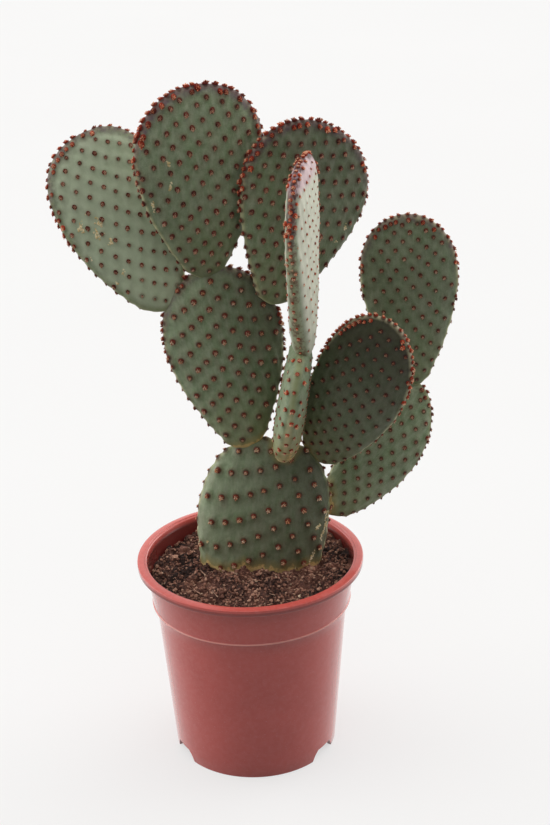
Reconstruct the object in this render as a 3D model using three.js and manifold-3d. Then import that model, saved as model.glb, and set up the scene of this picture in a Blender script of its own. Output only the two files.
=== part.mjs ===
// Potted paddle cactus: ten pads growing out of each other, soil and a tapered plastic pot.
// Millimetres, +Z up, the pot's axis on Z while it is built. The viewer stands at -Y.
import * as THREE from 'three';
import { mergeVertices } from 'three/addons/utils/BufferGeometryUtils.js';
import Module from 'manifold-3d';

const wasm = await Module();
wasm.setup();

// Driving dimensions.
const gap = 0.3; // between pieces that touch

const pot = {
  height: 121.3,
  rimRadius: 65,
  rimWidth: 5.6,
  rimDepth: 4,
  wall: 1.9,
  collarTop: 60.2, // radius under the rim
  collarFoot: 57.2, // radius at the step
  stepHeight: 94,
  bodyTop: 55.2, // radius under the step
  footRadius: 47.3,
  footWidth: 2.6,
  floorHeight: 7.5, // underside of the floor over the surface that the pot stands on
  floorThick: 1.8,
  round: 1, // of the rolled rim
  ease: 0.5, // of the small edges
  ledge: 2, // height over which the step widens to the collar
  facets: 40,
};

// Three notches cut from the foot ring. first turns the first one from the front, in degrees.
const notch = { count: 3, first: 176, width: 17, height: 6.6, slant: 2.5, reach: 12, inside: 8 };
const drain = { count: 6, radius: 4, circle: 29, facets: 16 };

const soil = {
  level: 111.5,
  relief: 1.3,
  ripple: 0.6, // of the finer waves, as a share of relief
  bank: 0.045, // rise towards the right and the back, millimetre for millimetre
  mound: { x: -8, y: -12, rise: 3.8, radius: 26 }, // heaped against the base pad
  rings: 8,
  crumbs: 38,
  crumbSize: [1.6, 3.4],
  crumbWidth: [0.6, 1],
  crumbHeight: [0.5, 0.8],
  ease: 0.3, // kept from the wall at the surface, over the gap
};

// A pad's foot is the lowest point of its outline, inside the pad that it grows from.
// lean tips it to the right, nod to the back, and turn swings its face round its own length, in degrees.
// low and high shape the outline under and over its widest place, and neck rounds its foot.
// sway bends it in its own plane and bow out of it, in millimetres at mid-length.
// ends is the fullness of its thickness towards foot and tip, where it isn't the usual one.
const pads = [
  { name: 'pad_base', foot: [1.9, 6, 74], lean: 6.7, nod: 0, turn: -4,
    length: 117, width: 73.4, thick: 27, low: 0.45, high: 0.34, neck: 0, sway: -1.6, bow: 0 },
  { name: 'pad_left_mid', on: 'pad_base', foot: [0.4, 6, 185], lean: -9.2, nod: 2, turn: 3,
    length: 109, width: 62, thick: 15, low: 1.05, high: 0.56, neck: 0.22, sway: 0, bow: 2 },
  { name: 'pad_top_mid', on: 'pad_left_mid', foot: [-18.4, 9.5, 286.5], lean: 0.6, nod: -1, turn: 15,
    length: 106.5, width: 66.5, thick: 12.5, low: 1.05, high: 0.49, neck: 0.22, sway: -2.8, bow: -2 },
  { name: 'pad_far_left', on: 'pad_left_mid', foot: [-39, 9.5, 269], lean: -25.2, nod: 13, turn: 10,
    length: 105.5, width: 60, thick: 12.5, low: 0.84, high: 0.4, neck: 0.22, sway: -1.8, bow: -2 },
  { name: 'pad_top_right', on: 'pad_left_mid', foot: [17.6, 9.5, 270.2], lean: 12, nod: 2, turn: 24,
    length: 103, width: 73, thick: 12.5, low: 1.05, high: 0.54, neck: 0.22, sway: 6.5, bow: 2 },
  { name: 'pad_right_front', on: 'pad_base', foot: [39, 7, 176.5], lean: 22.6, nod: -14, turn: -18,
    length: 103.5, width: 50, thick: 13, low: 0.83, high: 0.5, neck: 0.22, sway: 2.7, bow: -2 },
  { name: 'pad_right_low', on: 'pad_base', foot: [44.6, 8, 141.5], lean: 37.6, nod: 13, turn: -8,
    length: 92, width: 39.5, thick: 13, low: 0.82, high: 0.53, neck: 0.22, sway: 5.2, bow: 1 },
  { name: 'pad_right_tall', on: 'pad_right_low', foot: [96.3, 27.6, 211.5], lean: -2.9, nod: -2, turn: -5,
    length: 102.5, width: 51.6, thick: 12, low: 1.03, high: 0.49, neck: 0.22, sway: 0.4, bow: 2 },
  { name: 'pad_edge_low', on: 'pad_base', foot: [21, 1, 184], lean: 7.7, nod: -20, turn: 85,
    length: 80, width: 47, thick: 15.4, low: 0.6, high: 0.34, neck: 0.2, sway: 0, bow: 0, ends: 6 },
  { name: 'pad_edge_top', on: 'pad_edge_low', foot: [32.2, -24.5, 251], lean: 0.4, nod: -4, turn: 75.5,
    length: 114, width: 57, thick: 12, low: 0.95, high: 0.4, neck: 0.14, sway: 0, bow: 0, ends: 6 },
];
const skin = {
  around: 16,
  along: 14,
  neckLength: 0.07, // share of the length over which the foot rounds off
  edge: 0.85, // under 1 fills the section's corners out from an ellipse
  ends: 2.6, // the usual fullness of the thickness towards foot and tip
  footThick: 1.12,
  taper: 0.3, // how much thinner the tip is than the foot
  pole: 0.002, // share of the length that counts as the very end
};

// An areole is a tuft of short bristles on the skin. Each one is a three-sided spike here.
const areole = {
  column: 13.4,
  row: 9.8,
  edge: 4.5, // from the rows on a face to the pad's edge
  rimLow: 13, // spacing on the lower rim
  rimHigh: 8.6, // spacing on the upper rim
  radius: 1.2,
  height: 1.9,
  root: 1.3,
  clear: 2.6, // kept free next to another piece
  jitter: 0.7,
  offset: 0.4, // rows by which the far face's rows are shifted
  ends: [0.04, 0.97], // share of the length that has tufts
};

const degrees = Math.PI / 180;

// Numbers from 0 to 1, the same on every run.
let drawn = 7;
function random() {
  drawn = (drawn * 16807) % 2147483647;
  return drawn / 2147483647;
}
for (let i = 0; i < 9; i++) random();

const between = (low, high) => low + (high - low) * random();

function toSolid(geometry) {
  const bare = geometry.clone();
  bare.deleteAttribute('normal');
  bare.deleteAttribute('uv');
  const merged = mergeVertices(bare, 1e-4);
  return new wasm.Manifold(
    new wasm.Mesh({
      numProp: 3,
      vertProperties: merged.attributes.position.array,
      triVerts: new Uint32Array(merged.index.array),
    }),
  );
}

function toMesh(name, solid, material) {
  const mesh = solid.getMesh();
  const geometry = new THREE.BufferGeometry();
  geometry.setAttribute('position', new THREE.BufferAttribute(mesh.vertProperties, 3));
  geometry.setIndex(new THREE.BufferAttribute(mesh.triVerts, 1));
  geometry.computeVertexNormals();
  const piece = new THREE.Mesh(geometry, material);
  piece.name = name;
  return piece;
}

// Pot.

function lathe(profile) {
  const points = profile.map(([radius, height]) => new THREE.Vector2(radius, height));
  return new THREE.LatheGeometry(points, pot.facets).rotateX(Math.PI / 2);
}

// Inner radius of the wall at a height: it follows the outside, wall by wall.
function innerRadius(height) {
  const step = pot.stepHeight;
  if (height > step) {
    const share = (height - step) / (pot.height - pot.rimDepth - step);
    return pot.collarFoot + (pot.collarTop - pot.collarFoot) * share - pot.wall;
  }
  const share = height / step;
  return pot.footRadius + (pot.bodyTop - pot.footRadius) * share - pot.wall;
}

function potSolid() {
  const floorTop = pot.floorHeight + pot.floorThick;
  const rimFoot = pot.height - pot.rimDepth;
  const rimInner = pot.rimRadius - pot.rimWidth;
  const footInner = pot.footRadius - pot.footWidth;
  const { round, ease, ledge, height, stepHeight } = pot;
  const profile = [
    [0, pot.floorHeight],
    [footInner - ease, pot.floorHeight],
    [footInner, 0],
    [pot.footRadius - ease, 0],
    [pot.footRadius, ease],
    [pot.bodyTop, stepHeight],
    [pot.collarFoot - ease, stepHeight + ledge / 2],
    [pot.collarFoot, stepHeight + ledge],
    [pot.collarTop, rimFoot],
    [pot.rimRadius - round, rimFoot],
    [pot.rimRadius, rimFoot + round],
    [pot.rimRadius, height - round],
    [pot.rimRadius - round, height - ease / 2],
    [pot.rimRadius - pot.rimWidth / 2, height],
    [rimInner + ease, height - ease],
    [rimInner, height - round],
    [innerRadius(rimFoot), rimFoot],
    [innerRadius(stepHeight + ledge), stepHeight + ledge],
    [innerRadius(stepHeight - ledge / 2), stepHeight - ledge / 2],
    [innerRadius(floorTop + 2 * ease), floorTop + 2 * ease],
    [innerRadius(floorTop) - 2 * ease, floorTop],
    [0, floorTop],
  ];
  let solid = toSolid(lathe(profile));
  for (let i = 0; i < notch.count; i++) {
    const shape = new THREE.Shape();
    const half = notch.width / 2;
    shape.moveTo(-half - notch.slant, -1);
    shape.lineTo(half + notch.slant, -1);
    shape.lineTo(half, notch.height - notch.slant);
    shape.lineTo(half - notch.slant, notch.height);
    shape.lineTo(notch.slant - half, notch.height);
    shape.lineTo(-half, notch.height - notch.slant);
    const cut = new THREE.ExtrudeGeometry(shape, { depth: notch.reach, bevelEnabled: false });
    cut.rotateX(Math.PI / 2);
    cut.translate(0, notch.inside - pot.footRadius, 0);
    cut.rotateZ((notch.first + (360 / notch.count) * i) * degrees);
    solid = solid.subtract(toSolid(cut));
  }
  for (let i = 0; i < drain.count; i++) {
    const { radius, facets } = drain;
    const hole = new THREE.CylinderGeometry(radius, radius, 2 * pot.floorHeight, facets);
    hole.rotateX(Math.PI / 2).translate(drain.circle, 0, pot.floorHeight);
    hole.rotateZ((360 / drain.count) * i * degrees);
    solid = solid.subtract(toSolid(hole));
  }
  return solid;
}

// Soil.

// Height of the soil's surface at a place over the pot's floor.
function soilHeight(x, y) {
  const swell = Math.sin(x * 0.21 + 1) * Math.cos(y * 0.17);
  const wave = swell + soil.ripple * Math.sin(x * 0.43 - y * 0.38);
  const { mound } = soil;
  const apart = Math.hypot(x - mound.x, y - mound.y) / mound.radius;
  const heap = mound.rise * Math.exp(-apart * apart);
  return soil.level + soil.relief * wave + soil.bank * (x + y) + heap;
}

function soilSolid(hole) {
  const bottom = pot.floorHeight + pot.floorThick + gap;
  const top = soil.level;
  const edge = innerRadius(top) - gap - soil.ease;
  const { ledge, stepHeight } = pot;
  const profile = [
    [0, bottom],
    [innerRadius(bottom) - ledge, bottom],
    [innerRadius(bottom + ledge) - gap, bottom + ledge],
    [innerRadius(stepHeight - ledge / 2) - gap, stepHeight - ledge / 2],
    [innerRadius(stepHeight + ledge) - gap, stepHeight + ledge + gap],
  ];
  for (let i = soil.rings; i >= 0; i--) profile.push([(edge * i) / soil.rings, top]);
  const block = lathe(profile);
  const place = block.attributes.position;
  for (let i = 0; i < place.count; i++) {
    if (Math.abs(place.getZ(i) - top) > 0.01) continue;
    const x = place.getX(i);
    const y = place.getY(i);
    const height = soilHeight(x, y);
    const atWall = Math.hypot(x, y) > edge - 0.01;
    const fit = atWall ? (innerRadius(height) - gap - soil.ease) / edge : 1;
    place.setXYZ(i, x * fit, y * fit, height);
  }
  let solid = toSolid(block);
  for (let i = 0; i < soil.crumbs; i++) {
    const size = between(...soil.crumbSize);
    const reach = Math.sqrt(random()) * (edge - size - soil.ease);
    const turn = between(0, 2 * Math.PI);
    const x = reach * Math.cos(turn);
    const y = reach * Math.sin(turn);
    const crumb = new THREE.OctahedronGeometry(size);
    crumb.scale(1, between(...soil.crumbWidth), between(...soil.crumbHeight));
    crumb.rotateX(between(-0.5, 0.5)).rotateZ(between(0, Math.PI)).translate(x, y, soilHeight(x, y));
    solid = solid.add(toSolid(crumb));
  }
  return solid.subtract(hole);
}

// Pads.

const byName = new Map(pads.map((pad) => [pad.name, pad]));

for (const pad of pads) {
  pad.frame = new THREE.Object3D();
  pad.frame.position.set(...pad.foot);
  pad.frame.rotation.set(-pad.nod * degrees, pad.lean * degrees, pad.turn * degrees, 'YXZ');
  pad.frame.updateMatrixWorld();
  pad.inverse = pad.frame.matrixWorld.clone().invert();
}

// t runs from 0 at a pad's foot to 1 at its tip.
function halfWidth(pad, t) {
  const sum = pad.low + pad.high;
  const peak = (pad.low / sum) ** pad.low * (pad.high / sum) ** pad.high;
  const leaf = (t ** pad.low * (1 - t) ** pad.high) / peak;
  const round = Math.sqrt(1 - (1 - Math.min(1, t / skin.neckLength)) ** 2);
  return (pad.width / 2) * (leaf + pad.neck * (1 - t) ** 2 * round);
}

function halfThick(pad, t) {
  const full = Math.sqrt(1 - Math.abs(2 * t - 1) ** (pad.ends ?? skin.ends));
  return (pad.thick / 2) * full * (skin.footThick - skin.taper * t);
}

const arch = (t) => 4 * t * (1 - t);

// A point of the skin, in the pad's own frame, raised off it by grow.
function skinPoint(pad, t, angle, grow = 0) {
  const along = (value) => Math.sign(value) * Math.abs(value) ** skin.edge;
  return new THREE.Vector3(
    (halfWidth(pad, t) + grow) * along(Math.cos(angle)) + pad.sway * arch(t),
    (halfThick(pad, t) + grow) * along(Math.sin(angle)) + pad.bow * arch(t),
    pad.length * t + grow * (2 * t - 1),
  );
}

function padSkin(pad, grow = 0) {
  const ball = new THREE.SphereGeometry(1, skin.around, skin.along).rotateX(Math.PI / 2);
  const place = ball.attributes.position;
  for (let i = 0; i < place.count; i++) {
    const t = THREE.MathUtils.clamp((place.getZ(i) + 1) / 2, 0, 1);
    const pole = t < skin.pole || t > 1 - skin.pole;
    const angle = Math.atan2(place.getY(i), place.getX(i));
    const point = skinPoint(pad, t, angle, grow);
    if (pole) point.set(0, 0, point.z);
    place.setXYZ(i, ...point);
  }
  return toSolid(ball);
}

// Whether a point in the pot's frame lies in a pad that is grown by margin.
function insidePad(pad, point, margin) {
  const own = point.clone().applyMatrix4(pad.inverse);
  const share = own.z / pad.length;
  const spare = margin / pad.length;
  if (share < -spare || share > 1 + spare) return false;
  const t = THREE.MathUtils.clamp(share, skin.pole, 1 - skin.pole);
  const x = Math.abs(own.x - pad.sway * arch(t)) / (halfWidth(pad, t) + margin);
  const y = Math.abs(own.y - pad.bow * arch(t)) / (halfThick(pad, t) + margin);
  return x ** (2 / skin.edge) + y ** (2 / skin.edge) < 1;
}

// Places of the tufts on a pad, as [t, angle] pairs: staggered rows on both faces and a row on the rim.
function areolePlaces(pad) {
  const places = [];
  const rows = Math.floor(pad.length / areole.row);
  for (let row = 0; row < rows; row++) {
    for (const face of [1, -1]) {
      const t = ((row + 0.5 + (face > 0 ? 0 : areole.offset)) * areole.row) / pad.length;
      if (t > areole.ends[1]) continue;
      const reach = halfWidth(pad, t) - areole.edge;
      const stagger = row % 2 === 0 ? 0 : 0.5;
      const columns = Math.ceil(pad.width / areole.column);
      for (let column = -columns; column <= columns; column++) {
        const x = (column + stagger) * areole.column + between(-areole.jitter, areole.jitter);
        if (Math.abs(x) > reach) continue;
        const across = Math.sign(x) * Math.abs(x / halfWidth(pad, t)) ** (1 / skin.edge);
        places.push([t, face * Math.acos(across)]);
      }
    }
  }
  const strides = 400;
  for (const side of [0, Math.PI]) {
    let last = skinPoint(pad, areole.ends[0], side);
    for (let stride = 1; stride < strides; stride++) {
      const t = (1 - Math.cos((Math.PI * stride) / strides)) / 2;
      const here = skinPoint(pad, t, side);
      const spacing = t < 0.5 ? areole.rimLow : areole.rimHigh;
      if (t < areole.ends[0] || here.distanceTo(last) < spacing) continue;
      last = here;
      places.push([t, side]);
    }
  }
  return places;
}

// The skin's direction at a place, from its neighbours a little along and around.
function outward(pad, t, angle) {
  const along = Math.min(0.004, (1 - t) / 2);
  const around = 0.05;
  const up = skinPoint(pad, t + along, angle).sub(skinPoint(pad, t - along, angle));
  const side = skinPoint(pad, t, angle + around).sub(skinPoint(pad, t, angle - around));
  return side.cross(up).normalize();
}

function spikes(pad) {
  const all = [];
  for (const [t, angle] of areolePlaces(pad)) {
    const root = skinPoint(pad, t, angle);
    const normal = outward(pad, t, angle);
    const tip = root.clone().addScaledVector(normal, areole.height);
    const turn = between(0, 2 * Math.PI);
    const world = root.clone().applyMatrix4(pad.frame.matrixWorld);
    const worldTip = tip.clone().applyMatrix4(pad.frame.matrixWorld);
    const buried = world.z < soilHeight(world.x, world.y) + areole.clear;
    const crowded = pads.some(
      (other) => other !== pad && [world, worldTip].some((point) => insidePad(other, point, areole.clear)),
    );
    if (buried || crowded) continue;
    const spike = new THREE.ConeGeometry(areole.radius, areole.height + areole.root, 3);
    spike.rotateY(turn).translate(0, (areole.height - areole.root) / 2, 0);
    spike.applyQuaternion(
      new THREE.Quaternion().setFromUnitVectors(new THREE.Vector3(0, 1, 0), normal),
    );
    all.push(toSolid(spike.translate(...root)));
  }
  return all;
}

function padSolid(pad) {
  let solid = padSkin(pad);
  const parent = byName.get(pad.on);
  if (parent) {
    const place = new THREE.Matrix4().multiplyMatrices(pad.inverse, parent.frame.matrixWorld);
    solid = solid.subtract(padSkin(parent, gap).transform(place.elements));
  }
  return wasm.Manifold.union([solid, ...spikes(pad)]);
}

// Assembly.

const plastic = new THREE.MeshStandardMaterial({ color: 0x9c4a44, roughness: 0.45, metalness: 0 });
const peat = new THREE.MeshStandardMaterial({ color: 0x3a2a22, roughness: 1, metalness: 0 });
const flesh = new THREE.MeshStandardMaterial({ color: 0x5d7452, roughness: 0.7, metalness: 0 });

const cactus = new THREE.Group();
cactus.add(toMesh('pot', potSolid(), plastic));
const basePad = byName.get('pad_base');
const socket = padSkin(basePad, gap).transform(basePad.frame.matrixWorld.elements);
cactus.add(toMesh('soil', soilSolid(socket), peat));
for (const pad of pads) {
  const mesh = toMesh(pad.name, padSolid(pad), flesh);
  mesh.position.copy(pad.frame.position);
  mesh.rotation.copy(pad.frame.rotation);
  cactus.add(mesh);
}

// The row's origin is the middle of the whole object's box, on the surface that the pot stands on.
cactus.updateMatrixWorld(true);
const box = new THREE.Box3().setFromObject(cactus, true);
const middle = box.getCenter(new THREE.Vector3());
cactus.position.set(-middle.x, -middle.y, -box.min.z);

export default cactus;
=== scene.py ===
import math
import random

import bmesh
import bpy
from mathutils import Matrix, Vector, kdtree, noise
from mathutils.bvhtree import BVHTree


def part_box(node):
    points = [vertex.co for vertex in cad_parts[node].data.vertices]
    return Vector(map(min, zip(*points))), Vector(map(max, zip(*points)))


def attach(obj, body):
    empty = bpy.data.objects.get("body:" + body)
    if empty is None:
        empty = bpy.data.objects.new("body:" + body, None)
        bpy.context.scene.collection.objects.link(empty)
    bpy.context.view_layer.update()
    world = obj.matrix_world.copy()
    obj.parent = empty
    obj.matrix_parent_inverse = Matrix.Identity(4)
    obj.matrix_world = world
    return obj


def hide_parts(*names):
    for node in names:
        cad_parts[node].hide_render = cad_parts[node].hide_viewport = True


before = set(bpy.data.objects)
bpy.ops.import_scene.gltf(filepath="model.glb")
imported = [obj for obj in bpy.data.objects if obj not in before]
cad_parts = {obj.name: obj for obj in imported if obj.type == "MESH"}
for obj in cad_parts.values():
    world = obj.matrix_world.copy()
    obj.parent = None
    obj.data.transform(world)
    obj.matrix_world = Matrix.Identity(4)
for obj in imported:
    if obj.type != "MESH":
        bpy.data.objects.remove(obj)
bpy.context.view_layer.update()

# The plant is drawn in millimetres round the pot's axis, which stands a little left of the frame's origin.
millimetre = 0.001
anyTurn = 6.28  # radians, a full turn as near as a random one needs
mergeReach = 0.001  # points of a spun profile that are closer than this become one
lumpUneven = (0.6, 1.25)
potLow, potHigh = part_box("pot")
potFrame = Matrix.Translation(((potLow.x + potHigh.x) / 2, (potLow.y + potHigh.y) / 2, 0))
potFrame = potFrame @ Matrix.Scale(millimetre, 4)
scene = bpy.context.scene
scene.view_settings.view_transform = "Standard"


def clamp(value, low=0, high=1):
    return min(max(value, low), high)


def between(low, high, share):
    return low + (high - low) * share


def eitherWay(draw, most):
    return draw.uniform(-most, most)


def linear(hexColour):
    parts = [int(hexColour[i:i + 2], 16) / 255 for i in (1, 3, 5)]
    return (*[c / 12.92 if c <= 0.04045 else ((c + 0.055) / 1.055) ** 2.4 for c in parts], 1)


def node(tree, kind, inputs=None, **settings):
    # adds one shader node and fills its sockets, by name or by number; a node given as a value is linked by
    # its first output, and a hex string is a colour
    made = tree.nodes.new("ShaderNode" + kind)
    if kind == "Mix":
        made.data_type = "RGBA"
    for key, value in settings.items():
        setattr(made, key, value)
    for key, value in (inputs or {}).items():
        socket = next(s for i, s in enumerate(made.inputs) if s.enabled and key in (i, s.name))
        if isinstance(value, bpy.types.Node):
            value = next(output for output in value.outputs if output.enabled)
        if isinstance(value, bpy.types.NodeSocket):
            tree.links.new(value, socket)
        else:
            socket.default_value = linear(value) if isinstance(value, str) else value
    return made


def share(tree, *bands, curve="LINEAR"):
    # multiplies bands: each is (value,), or (value, start, stop), which goes from 0 to 1 between the two, or
    # that with two more numbers in place of 0 and 1
    total = None
    for value, *ends in bands:
        if ends:
            start, stop, low, high = (*ends, 0, 1)[:4]
            value = node(tree, "MapRange", {"Value": value, "From Min": start, "From Max": stop,
                                            "To Min": low, "To Max": high}, interpolation_type=curve)
        total = value if total is None else node(tree, "Math", {0: total, 1: value}, operation="MULTIPLY")
    return total


def coat(tree, colour, tint, *bands, **settings):
    # lays a tint over a colour, as thick as the bands say
    return node(tree, "Mix", {"Factor": share(tree, *bands), "A": colour, "B": tint}, **settings)


def newMaterial(name):
    material = bpy.data.materials.new(name)
    material.use_nodes = True
    material.node_tree.nodes.clear()
    return material, material.node_tree


def surfaced(material, shader):
    node(material.node_tree, "OutputMaterial", {"Surface": shader})
    return material


def meshFrom(bm, name):
    mesh = bpy.data.meshes.new(name)
    bm.to_mesh(mesh)
    bm.free()
    return mesh


def inScene(name, data):
    thing = bpy.data.objects.new(name, data)
    scene.collection.objects.link(thing)
    return thing


def addPiece(name, bm, materials, sharpAngle=None):
    bmesh.ops.transform(bm, matrix=potFrame, verts=bm.verts)
    mesh = meshFrom(bm, name)
    mesh.shade_smooth()
    if sharpAngle is not None:
        mesh.set_sharp_from_angle(angle=math.radians(sharpAngle))
    for material in materials:
        mesh.materials.append(material)
    piece = inScene(name, mesh)
    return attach(piece, "root")


def spinProfile(profile, steps):
    # turns a list of (radius, height) round the Z axis into a closed body
    bm = bmesh.new()
    line = [bm.verts.new((radius, 0, height)) for radius, height in profile]
    edges = [bm.edges.new(pair) for pair in zip(line, line[1:])]
    bmesh.ops.spin(bm, geom=line + edges, cent=(0, 0, 0), axis=(0, 0, 1), angle=2 * math.pi,
                   steps=steps, use_merge=True)
    bmesh.ops.remove_doubles(bm, verts=bm.verts, dist=mergeReach)
    bmesh.ops.recalc_face_normals(bm, faces=bm.faces)
    return bm


def lumpShapes(draw, count):
    # a few uneven lumps of 20 faces, which serve as crumbs and scabs
    shapes = []
    for _ in range(count):
        lump = bmesh.new()
        bmesh.ops.create_icosphere(lump, subdivisions=1, radius=1)
        for vert in lump.verts:
            vert.co *= draw.uniform(*lumpUneven)
        shapes.append(meshFrom(lump, "lump"))
    return shapes


def stampAll(bm, placements, *layerNames):
    # puts placed copies of small meshes into bm; each placement is (mesh, matrix, a value for each layer)
    for name in layerNames:
        bm.verts.layers.float.new(name)
    layers = [bm.verts.layers.float[name] for name in layerNames]
    stretches = []
    for shape, matrix, *values in placements:
        copy = shape.copy()
        copy.transform(matrix)
        first = len(bm.verts)
        bm.from_mesh(copy)
        bpy.data.meshes.remove(copy)
        stretches.append((first, len(bm.verts), values))
    bm.verts.ensure_lookup_table()
    for first, last, values in stretches:
        for i in range(first, last):
            for layer, value in zip(layers, values):
                bm.verts[i][layer] = value


pot = {
    "height": 121.3, "rimRadius": 65, "rimWidth": 5.6, "rimDepth": 4, "wall": 1.9,
    "collarTop": 60.2, "collarFoot": 57.2, "stepHeight": 94, "bodyTop": 55.2, "ledge": 2,
    "footRadius": 47.3, "footWidth": 2.6, "footRound": 0.5, "floorHeight": 7.5, "floorThick": 1.8,
    "rimCorner": 0.7, "rimCrown": 0.35, "rimInside": 1.1, "bead": 0.85, "steps": 180, "bodyRings": 12,
    "collarRings": 6,
    # how strong the painted highlight on the bead is and between which heights over the step,
    # how deep the painted shade under the rim is and how far up
    "beadHighlight": 0.9, "beadBand": (0.6, 1.5), "rimShade": 0.6, "shadeTop": 2.2,
}
notch = {"count": 3, "first": 176, "width": 17, "height": 6.6, "slant": 2.5, "reach": 12, "inside": 8}
drain = {"count": 6, "radius": 4, "circle": 29, "segments": 24}


def innerRadius(height):
    step = pot["stepHeight"]
    if height > step:
        rise = (height - step) / (pot["height"] - pot["rimDepth"] - step)
        return between(pot["collarFoot"], pot["collarTop"], rise) - pot["wall"]
    return between(pot["footRadius"], pot["bodyTop"], height / step) - pot["wall"]


def roundCorner(centre, radius, start, stop, steps=5):
    # points on an arc in the profile's plane, its angles in degrees from the outward direction
    turns = [math.radians(between(start, stop, i / steps)) for i in range(steps + 1)]
    return [(centre[0] + radius * math.cos(a), centre[1] + radius * math.sin(a)) for a in turns]


def polypropylene():
    # injection moulded polypropylene, brick red: satin, paler towards its edges, with faint clouds and dust
    material, tree = newMaterial("moulded_polypropylene_brick_red")
    place = node(tree, "TexCoord").outputs["Object"]
    inside, bead = (node(tree, "Attribute", attribute_name=key).outputs["Fac"] for key in ("inside", "bead"))
    # clouds of about 25 mm and mottling of 3 mm in the pigment, dust and scuffs of 0.6 mm, grain of 1 mm
    cloud = node(tree, "TexNoise", {"Vector": place, "Scale": 40, "Detail": 3, "Roughness": 0.55})
    mottle = node(tree, "TexNoise", {"Vector": place, "Scale": 330, "Detail": 3, "Roughness": 0.6})
    dust = node(tree, "TexNoise", {"Vector": place, "Scale": 1600})
    grain = node(tree, "TexNoise", {"Vector": place, "Scale": 900})
    colour = coat(tree, "#ba4d46", "#cd5a53", (cloud,))
    colour = coat(tree, colour, "#d4766f", (mottle, 0.4, 0.7, 0, 0.22))
    colour = coat(tree, colour, "#dcb4ae", (dust, 0.66, 0.76, 0, 0.35))
    # painted highlight on the thin bead at the step, and painted shade on the inner wall and under the rim
    colour = coat(tree, colour, "#e59c93", (bead,))
    colour = coat(tree, colour, "#4a1512", (inside, 0, 1, 0, 0.88))
    bump = node(tree, "Bump", {"Height": grain, "Strength": 0.15, "Distance": 0.0002})
    return surfaced(material, node(tree, "BsdfPrincipled", {
        "Base Color": colour, "Roughness": share(tree, (cloud, 0, 1, 0.18, 0.3)), "IOR": 1.4,
        "Coat Weight": 1, "Coat IOR": 1.2, "Coat Roughness": 0.13, "Normal": bump}))


def cut(target, cutter):
    # takes a closed cutter out of a closed bmesh and gives back the new one
    body, tool = (inScene("cutting", meshFrom(source, "cutting")) for source in (target, cutter))
    boolean = body.modifiers.new("cut", "BOOLEAN")
    boolean.operation = "DIFFERENCE"
    boolean.solver = "EXACT"
    boolean.object = tool
    result = bmesh.new()
    result.from_object(body, bpy.context.evaluated_depsgraph_get())
    for spare in (body, tool):
        bpy.data.objects.remove(spare)
    return result


def potProfile():
    floorHeight = pot["floorHeight"]
    floorTop = floorHeight + pot["floorThick"]
    rimTop, rimFoot = pot["height"], pot["height"] - pot["rimDepth"]
    rimRadius, rimInner = pot["rimRadius"], pot["rimRadius"] - pot["rimWidth"]
    footRadius, footInner = pot["footRadius"], pot["footRadius"] - pot["footWidth"]
    bodyTop, collarFoot, collarTop = pot["bodyTop"], pot["collarFoot"], pot["collarTop"]
    step, ledge = pot["stepHeight"], pot["stepHeight"] + pot["ledge"]
    bead, footRound = pot["bead"], pot["footRound"]
    # the floor's underside and the foot ring with its eased edges, then the tapered wall
    profile = [(0, floorHeight), (footInner - 2, floorHeight), (footInner - 0.6, floorHeight - 0.5)]
    profile += [(footInner, floorHeight - 1.6), (footInner + 0.1, 0.4), (footInner + footRound, 0)]
    profile += [(footRadius - footRound, 0), (footRadius - 0.1, 0.15)]
    rises = [i / pot["bodyRings"] for i in range(pot["bodyRings"])]
    profile += [(between(footRadius, bodyTop, rise), between(footRound, step, rise)) for rise in rises]
    # the step under the collar: a small cove, then a thin bead that catches the light
    profile += [(bodyTop + 0.05, step - 0.7), (bodyTop + 0.3, step - 0.15)]
    profile += roundCorner((collarFoot - bead / 2, step + bead), bead, -80, 58, 7)
    rises = [i / pot["collarRings"] for i in range(1, pot["collarRings"])]
    profile += [(between(collarFoot, collarTop, rise), between(ledge, rimFoot, rise)) for rise in rises]
    profile += [(collarTop - 0.05, rimFoot - 0.8), (collarTop + 0.5, rimFoot)]
    # the rim: square at its outer edge, nearly flat on top
    corner, inside, crown = pot["rimCorner"], pot["rimInside"], pot["rimCrown"]
    profile += roundCorner((rimRadius - corner, rimFoot + corner), corner, -90, 0)
    profile += [(rimRadius, rimFoot + rise * pot["rimDepth"]) for rise in (0.3, 0.45, 0.55, 0.65)]
    profile += roundCorner((rimRadius - corner, rimTop - crown - corner), corner, 0, 80, 6)
    profile += [(between(rimRadius, rimInner, inwards), rimTop - crown * fall)
                for inwards, fall in ((0.25, 0.4), (0.4, 0.08), (0.55, 0), (0.7, 0.15))]
    profile += roundCorner((rimInner + inside, rimTop - crown - inside), inside, 70, 180, 7)
    # down the inner wall to the floor
    profile += [(innerRadius(rimFoot) + 0.2, rimFoot + 0.6), (innerRadius(rimFoot), rimFoot)]
    profile += [(innerRadius(height), height) for height in (ledge, step - 1, floorTop + 1)]
    return profile + [(innerRadius(floorTop) - 1, floorTop), (0, floorTop)]


def notchCutter(turn):
    # a trapezium with its upper corners cut off, pushed outwards through the foot ring
    half, high, slant = notch["width"] / 2, notch["height"], notch["slant"]
    outline = [(-half - slant, -1), (half + slant, -1), (half, high - slant), (half - slant, high),
               (slant - half, high), (-half, high - slant)]
    cutter = bmesh.new()
    near = notch["inside"] - pot["footRadius"]
    face = cutter.faces.new([cutter.verts.new((x, near, z)) for x, z in outline])
    grown = bmesh.ops.extrude_face_region(cutter, geom=[face])["geom"]
    bmesh.ops.translate(cutter, vec=(0, -notch["reach"], 0),
                        verts=[v for v in grown if isinstance(v, bmesh.types.BMVert)])
    bmesh.ops.rotate(cutter, cent=(0, 0, 0), matrix=Matrix.Rotation(turn, 3, "Z"), verts=cutter.verts)
    bmesh.ops.recalc_face_normals(cutter, faces=cutter.faces)
    return cutter


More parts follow.
